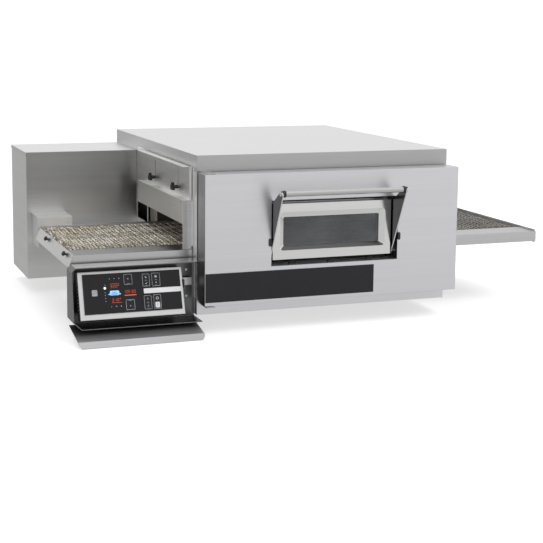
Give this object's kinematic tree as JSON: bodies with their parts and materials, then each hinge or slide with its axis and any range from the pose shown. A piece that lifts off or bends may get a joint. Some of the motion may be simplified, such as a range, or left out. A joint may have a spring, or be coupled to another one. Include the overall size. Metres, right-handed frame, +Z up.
{
  "type": "conveyor pizza oven",
  "caption": "Table-top conveyor oven in stainless steel with a through-running wire belt, hinged front door with a window flap, side control panel and rear drive box.",
  "frame": {"origin": "centre of the base pan's flat underside, where the oven stands on its stand", "axes": "+X along the belt from entry to exit, +Y from the front door to the back, +Z up"},
  "size_m": [1.499, 1.0938, 0.4962],
  "materials": {
    "brushed_stainless": "brushed along the length",
    "polished_stainless": "fine polish",
    "satin_stainless": "satin",
    "heat_dulled_steel": "dull, heat-stained",
    "belt_wire": "woven wire, straw-tinted by heat",
    "black_plastic": "moulded",
    "charcoal_panel": "smooth",
    "tinted_glass": "smoked",
    "keypad_glass": "glossy",
    "key_film": "film",
    "motor_enamel": "enamel",
    "seal_rope": "braided",
    "control_gear": "moulded"
  },
  "bodies": {
    "oven": {"base_pan": "brushed_stainless", "front_frame": "brushed_stainless", "entry_side_panel": "brushed_stainless", "exit_side_panel": "brushed_stainless", "rear_panel": "brushed_stainless", "top_cover": "satin_stainless", "baking_chamber": "heat_dulled_steel", "upper_jet_duct": "heat_dulled_steel", "lower_jet_duct": "heat_dulled_steel", "upper_heating_element": "heat_dulled_steel", "lower_heating_element": "heat_dulled_steel", "fan_motor": "motor_enamel", "conveyor_rail_front": "brushed_stainless", "conveyor_rail_rear": "brushed_stainless", "conveyor_belt": "belt_wire", "belt_support_grid": "heat_dulled_steel", "drive_chain": "heat_dulled_steel", "drive_cover": "satin_stainless", "technical_compartment": "brushed_stainless", "gear_motor": "motor_enamel", "control_gear": "control_gear", "door_hinge_upper": "polished_stainless", "door_hinge_lower": "polished_stainless", "panel_housing": "brushed_stainless", "control_box": "satin_stainless", "keypad_glass": "keypad_glass", "heat_deflector": "brushed_stainless"},
    "front_door": {"door_skin": "brushed_stainless", "door_inner_panel": "polished_stainless", "door_seal": "seal_rope", "door_band": "charcoal_panel"},
    "window_flap": {"window_frame": "polished_stainless", "window_glass": "tinted_glass", "window_carrier": "heat_dulled_steel", "window_handle": "polished_stainless", "handle_collar_entry": "black_plastic", "handle_collar_exit": "black_plastic"},
    "entry_curtain_body": {"entry_curtain": "brushed_stainless"},
    "exit_curtain_body": {"exit_curtain": "brushed_stainless"},
    "entry_wing_front": {"entry_wing_knob_front": "black_plastic"},
    "entry_wing_rear": {"entry_wing_knob_rear": "black_plastic"},
    "exit_wing_front": {"exit_wing_knob_front": "black_plastic"},
    "exit_wing_rear": {"exit_wing_knob_rear": "black_plastic"},
    "entry_tray": {"entry_crumb_tray": "brushed_stainless", "entry_tray_knob_front": "black_plastic", "entry_tray_knob_rear": "black_plastic"},
    "exit_tray": {"exit_crumb_tray": "brushed_stainless"},
    "drive": {"drive_shaft": "polished_stainless"},
    "idler": {"idler_shaft": "polished_stainless"},
    "motor_output": {"motor_sprocket": "polished_stainless"},
    "fan": {"circulation_fan": "heat_dulled_steel"},
    "vent_fan": {"cooling_fan": "black_plastic"},
    "button_up": {"key_up": "key_film"},
    "button_down": {"key_down": "key_film"},
    "button_top_left": {"key_top_left": "key_film"},
    "button_top_right": {"key_top_right": "key_film"},
    "button_bottom_left": {"key_bottom_left": "key_film"},
    "button_bottom_right": {"key_bottom_right": "key_film"}
  },
  "joints": [
    {"name": "front_door_hinge", "type": "hinge", "parent": "oven", "child": "front_door", "pos_m": [-0.372, -0.523, 0.2], "axis": [0, 0, -1], "range_deg": [0, 100]},
    {"name": "window_flap_hinge", "type": "hinge", "parent": "front_door", "child": "window_flap", "pos_m": [0, -0.515, 0.165], "axis": [1, 0, 0], "range_deg": [0, 60]},
    {"name": "entry_curtain_slide", "type": "slide", "parent": "oven", "child": "entry_curtain_body", "axis": [0, 0, -1], "range_m": [0, 0.045]},
    {"name": "exit_curtain_slide", "type": "slide", "parent": "oven", "child": "exit_curtain_body", "axis": [0, 0, -1], "range_m": [0, 0.045]},
    {"name": "entry_wing_front_turn", "type": "hinge", "parent": "oven", "child": "entry_wing_front", "pos_m": [-0.409, -0.305, 0.346], "axis": [-1, 0, 0], "continuous": true},
    {"name": "entry_wing_rear_turn", "type": "hinge", "parent": "oven", "child": "entry_wing_rear", "pos_m": [-0.409, -0.058, 0.346], "axis": [-1, 0, 0], "continuous": true},
    {"name": "exit_wing_front_turn", "type": "hinge", "parent": "oven", "child": "exit_wing_front", "pos_m": [0.409, -0.305, 0.346], "axis": [1, 0, 0], "continuous": true},
    {"name": "exit_wing_rear_turn", "type": "hinge", "parent": "oven", "child": "exit_wing_rear", "pos_m": [0.409, -0.058, 0.346], "axis": [1, 0, 0], "continuous": true},
    {"name": "entry_tray_slide", "type": "slide", "parent": "oven", "child": "entry_tray", "axis": [-1, 0, 0], "range_m": [0, 0.3]},
    {"name": "exit_tray_slide", "type": "slide", "parent": "oven", "child": "exit_tray", "axis": [1, 0, 0], "range_m": [0, 0.3]},
    {"name": "drive_shaft_turn", "type": "hinge", "parent": "oven", "child": "drive", "pos_m": [-0.706, -0.165, 0.166], "axis": [0, 1, 0], "continuous": true},
    {"name": "idler_shaft_turn", "type": "hinge", "parent": "oven", "child": "idler", "pos_m": [0.706, -0.165, 0.166], "axis": [0, 1, 0], "continuous": true},
    {"name": "motor_sprocket_turn", "type": "hinge", "parent": "oven", "child": "motor_output", "pos_m": [-0.652, 0.135, 0.166], "axis": [0, 1, 0], "continuous": true},
    {"name": "circulation_fan_turn", "type": "hinge", "parent": "oven", "child": "fan", "pos_m": [0, 0.225, 0.225], "axis": [0, 1, 0], "continuous": true},
    {"name": "cooling_fan_turn", "type": "hinge", "parent": "oven", "child": "vent_fan", "pos_m": [-0.5, 0.457, 0.2], "axis": [0, 1, 0], "continuous": true},
    {"name": "key_up_press", "type": "slide", "parent": "oven", "child": "button_up", "axis": [0, 0.9455, -0.3256], "range_m": [0, 0.0008], "stiffness_N_per_m": 900},
    {"name": "key_down_press", "type": "slide", "parent": "oven", "child": "button_down", "axis": [0, 0.9455, -0.3256], "range_m": [0, 0.0008], "stiffness_N_per_m": 900},
    {"name": "key_top_left_press", "type": "slide", "parent": "oven", "child": "button_top_left", "axis": [0, 0.9455, -0.3256], "range_m": [0, 0.0008], "stiffness_N_per_m": 900},
    {"name": "key_top_right_press", "type": "slide", "parent": "oven", "child": "button_top_right", "axis": [0, 0.9455, -0.3256], "range_m": [0, 0.0008], "stiffness_N_per_m": 900},
    {"name": "key_bottom_left_press", "type": "slide", "parent": "oven", "child": "button_bottom_left", "axis": [0, 0.9455, -0.3256], "range_m": [0, 0.0008], "stiffness_N_per_m": 900},
    {"name": "key_bottom_right_press", "type": "slide", "parent": "oven", "child": "button_bottom_right", "axis": [0, 0.9455, -0.3256], "range_m": [0, 0.0008], "stiffness_N_per_m": 900}
  ],
  "couplings": [
    {"joint": "idler_shaft_turn", "follows": "drive_shaft_turn", "ratio": 1},
    {"joint": "motor_sprocket_turn", "follows": "drive_shaft_turn", "ratio": 1.3333}
  ]
}
